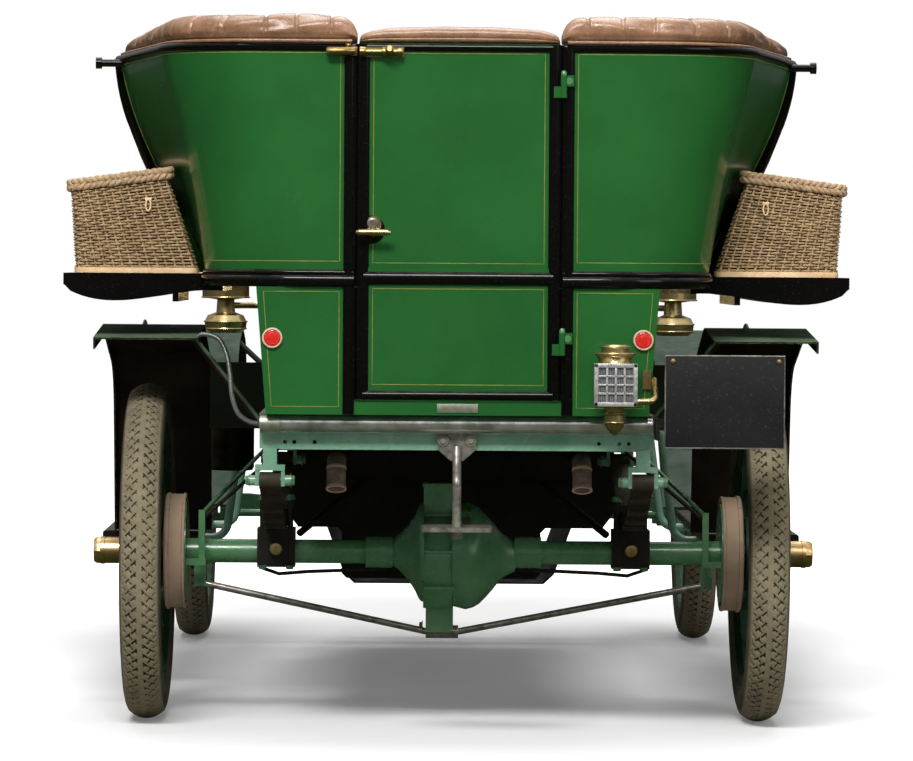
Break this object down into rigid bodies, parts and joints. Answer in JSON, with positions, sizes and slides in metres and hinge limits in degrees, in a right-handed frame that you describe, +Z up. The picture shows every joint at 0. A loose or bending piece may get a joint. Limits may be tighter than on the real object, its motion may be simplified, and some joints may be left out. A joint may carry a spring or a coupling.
{
  "type": "rear-entrance tonneau car",
  "caption": "Open brass era touring car with a rear-entrance tonneau, hinged rear door, wicker side baskets, artillery wheels, brass lamps and a hinged bonnet.",
  "frame": {"origin": "on the ground under the middle of the whole car", "axes": "+Y towards the car's front, +X to its right-hand side, +Z up"},
  "size_m": [1.732, 3.4724, 1.5672],
  "materials": {
    "green_paint": "deep gloss coach green with gold lines",
    "green_chassis": "gloss green chassis paint, dusty",
    "guard_green": "very dark green gloss",
    "black_gloss": "black gloss enamel",
    "black_satin": "satin black, dusty",
    "drum_brown": "brown primer with brake dust",
    "brass": "polished, lightly tarnished",
    "bronze_dark": "dark bronze lacquer",
    "engine_iron": "oily cast iron",
    "spring_steel": "dark green painted leaves",
    "brown_leather": "brown pleated hide",
    "wicker": "woven willow",
    "dash_wood": "varnished mahogany",
    "tyre_rubber": "dusty grey rubber",
    "conduit_grey": "woven grey sleeve"
  },
  "bodies": {
    "car": {"frame": "green_chassis", "rear_tube": "black_gloss", "rear_step": "green_chassis", "springs": "spring_steel", "rear_axle": "green_chassis", "axle_clamps": "black_satin", "brake_gear": "drum_brown", "exhaust": "drum_brown", "engine": "engine_iron", "undertray": "black_satin", "front_axle": "green_chassis", "body_tub": "green_paint", "seat_backs": "brown_leather", "tonneau_trim": "brown_leather", "rear_seats": "green_paint", "rear_cushions": "brown_leather", "side_shelves": "black_gloss", "front_seat": "green_paint", "front_trim": "brown_leather", "dash": "dash_wood", "steering_column": "brass", "hand_levers": "brass", "radiator": "brass", "starting_handle": "black_satin", "headlamps": "brass", "side_lamps": "brass", "tail_lamp": "brass", "number_plate": "black_satin", "gas_generator": "bronze_dark", "conduit": "conduit_grey", "rear_mudguards": "guard_green", "front_mudguards": "guard_green", "running_boards": "black_satin", "hinge_posts": "green_paint", "tonneau_right": "green_paint", "basket_right": "wicker", "tonneau_left": "green_paint", "basket_left": "wicker"},
    "door": {"door": "green_paint", "door_trim": "brown_leather", "door_brass": "brass"},
    "lid_right": {"lid_right": "wicker"},
    "lid_left": {"lid_left": "wicker"},
    "bonnet_right": {"bonnet_right": "green_paint"},
    "bonnet_left": {"bonnet_left": "green_paint"},
    "steering_wheel": {"steering_wheel": "dash_wood"},
    "knuckle_right": {"knuckle_right": "green_chassis"},
    "knuckle_left": {"knuckle_left": "green_chassis"},
    "track_rod": {"track_rod": "green_chassis"},
    "drop_arm": {"drop_arm": "green_chassis"},
    "drag_link": {"drag_link": "green_chassis"},
    "wheel_rear_right": {"wheel_rear_right": "green_chassis", "tyre_rear_right": "tyre_rubber"},
    "wheel_rear_left": {"wheel_rear_left": "green_chassis", "tyre_rear_left": "tyre_rubber"},
    "wheel_front_right": {"wheel_front_right": "green_chassis", "tyre_front_right": "tyre_rubber"},
    "wheel_front_left": {"wheel_front_left": "green_chassis", "tyre_front_left": "tyre_rubber"}
  },
  "joints": [
    {"name": "wheel_rear_right_spin", "type": "hinge", "parent": "car", "child": "wheel_rear_right", "pos_m": [0.693, -1.03, 0.38], "axis": [1, 0, 0], "continuous": true},
    {"name": "wheel_rear_left_spin", "type": "hinge", "parent": "car", "child": "wheel_rear_left", "pos_m": [-0.693, -1.03, 0.38], "axis": [1, 0, 0], "continuous": true},
    {"name": "wheel_front_right_spin", "type": "hinge", "parent": "knuckle_right", "child": "wheel_front_right", "pos_m": [0.693, 1.27, 0.38], "axis": [1, 0, 0], "continuous": true},
    {"name": "wheel_front_left_spin", "type": "hinge", "parent": "knuckle_left", "child": "wheel_front_left", "pos_m": [-0.693, 1.27, 0.38], "axis": [1, 0, 0], "continuous": true},
    {"name": "steering_wheel_turn", "type": "hinge", "parent": "car", "child": "steering_wheel", "pos_m": [0.28, -0.045, 1.35], "axis": [0, -0.6505, 0.7595], "range_deg": [-180, 180]},
    {"name": "steer_right", "type": "hinge", "parent": "car", "child": "knuckle_right", "pos_m": [0.6, 1.27, 0.38], "axis": [0, 0, 1], "range_deg": [-31, 31]},
    {"name": "steer_left", "type": "hinge", "parent": "car", "child": "knuckle_left", "pos_m": [-0.6, 1.27, 0.38], "axis": [0, 0, 1], "range_deg": [-31, 31]},
    {"name": "track_rod_swing", "type": "hinge", "parent": "knuckle_left", "child": "track_rod", "pos_m": [-0.6, 1.12, 0.3487], "axis": [0, 0, 1], "range_deg": [-31, 31]},
    {"name": "drop_arm_swing", "type": "hinge", "parent": "car", "child": "drop_arm", "pos_m": [0.44, 0.52, 0.69], "axis": [1, 0, 0], "range_deg": [-28, 28]},
    {"name": "drag_link_swing", "type": "hinge", "parent": "drop_arm", "child": "drag_link", "pos_m": [0.44, 0.52, 0.51], "axis": [1, 0, 0], "range_deg": [-28, 28]},
    {"name": "door_swing", "type": "hinge", "parent": "car", "child": "door", "pos_m": [0.2225, -1.642, 1.1], "axis": [0, 0, 1], "range_deg": [0, 90]},
    {"name": "lid_right_lift", "type": "hinge", "parent": "car", "child": "lid_right", "pos_m": [0.62, -1.336, 1.246], "axis": [-0.1656, -0.9862, 0], "range_deg": [0, 55]},
    {"name": "lid_left_lift", "type": "hinge", "parent": "car", "child": "lid_left", "pos_m": [-0.62, -1.336, 1.246], "axis": [-0.1656, 0.9862, 0], "range_deg": [0, 55]},
    {"name": "bonnet_right_lift", "type": "hinge", "parent": "car", "child": "bonnet_right", "pos_m": [0.026, 0.77, 1.097], "axis": [0, -1, 0], "range_deg": [0, 75]},
    {"name": "bonnet_left_lift", "type": "hinge", "parent": "car", "child": "bonnet_left", "pos_m": [-0.026, 0.77, 1.097], "axis": [0, 1, 0], "range_deg": [0, 75]}
  ],
  "couplings": [
    {"joint": "steer_right", "follows": "steering_wheel_turn", "ratio": 0.16667},
    {"joint": "steer_left", "follows": "steering_wheel_turn", "ratio": 0.16667},
    {"joint": "track_rod_swing", "follows": "steering_wheel_turn", "ratio": -0.16667},
    {"joint": "drop_arm_swing", "follows": "steering_wheel_turn", "ratio": -0.1465},
    {"joint": "drag_link_swing", "follows": "steering_wheel_turn", "ratio": 0.1465}
  ]
}
